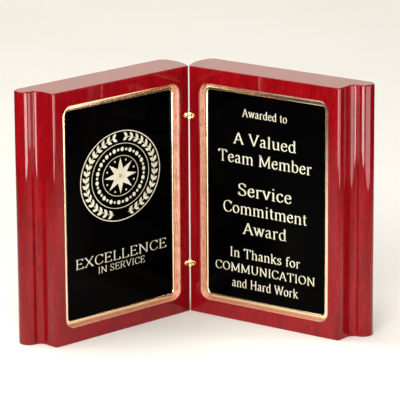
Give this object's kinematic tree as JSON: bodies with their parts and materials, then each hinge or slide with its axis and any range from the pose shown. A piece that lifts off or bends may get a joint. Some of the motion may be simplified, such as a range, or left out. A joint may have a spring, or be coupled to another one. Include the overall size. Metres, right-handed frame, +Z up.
{
  "type": "hinged book award plaque",
  "caption": "Free-standing award shaped like an open book: lacquered wood panels with gold-framed engraving plates, joined by small brass hinges.",
  "frame": {"origin": "middle of the footprint of the part-open book, on the surface that it stands on", "axes": "+Z up along the hinge axis, +X to the right across both panels, -Y towards the reader, whom the inner faces turn to"},
  "size_m": [0.2794, 0.1206, 0.2032],
  "materials": {
    "lacquered_wood": "deep red rosewood, high-gloss piano lacquer",
    "gold_frame": "polished gold",
    "black_plate": "gloss black, engraved",
    "tape": "white double-sided foam tape",
    "hinge_brass": "polished"
  },
  "bodies": {
    "left_leaf": {"left_panel": "lacquered_wood", "left_frame": "gold_frame", "left_plate": "black_plate", "left_plate_tape": "tape", "upper_hinge_left_half": "hinge_brass", "lower_hinge_left_half": "hinge_brass", "upper_hinge_pin": "hinge_brass", "lower_hinge_pin": "hinge_brass"},
    "right_leaf": {"right_panel": "lacquered_wood", "right_frame": "gold_frame", "right_plate": "black_plate", "right_plate_tape": "tape", "upper_hinge_right_half": "hinge_brass", "lower_hinge_right_half": "hinge_brass"}
  },
  "joints": [
    {"name": "book_hinge", "type": "hinge", "parent": "left_leaf", "child": "right_leaf", "pos_m": [0, 0.03314, 0], "axis": [0, 0, 1], "range_deg": [-98.7, 25]}
  ]
}
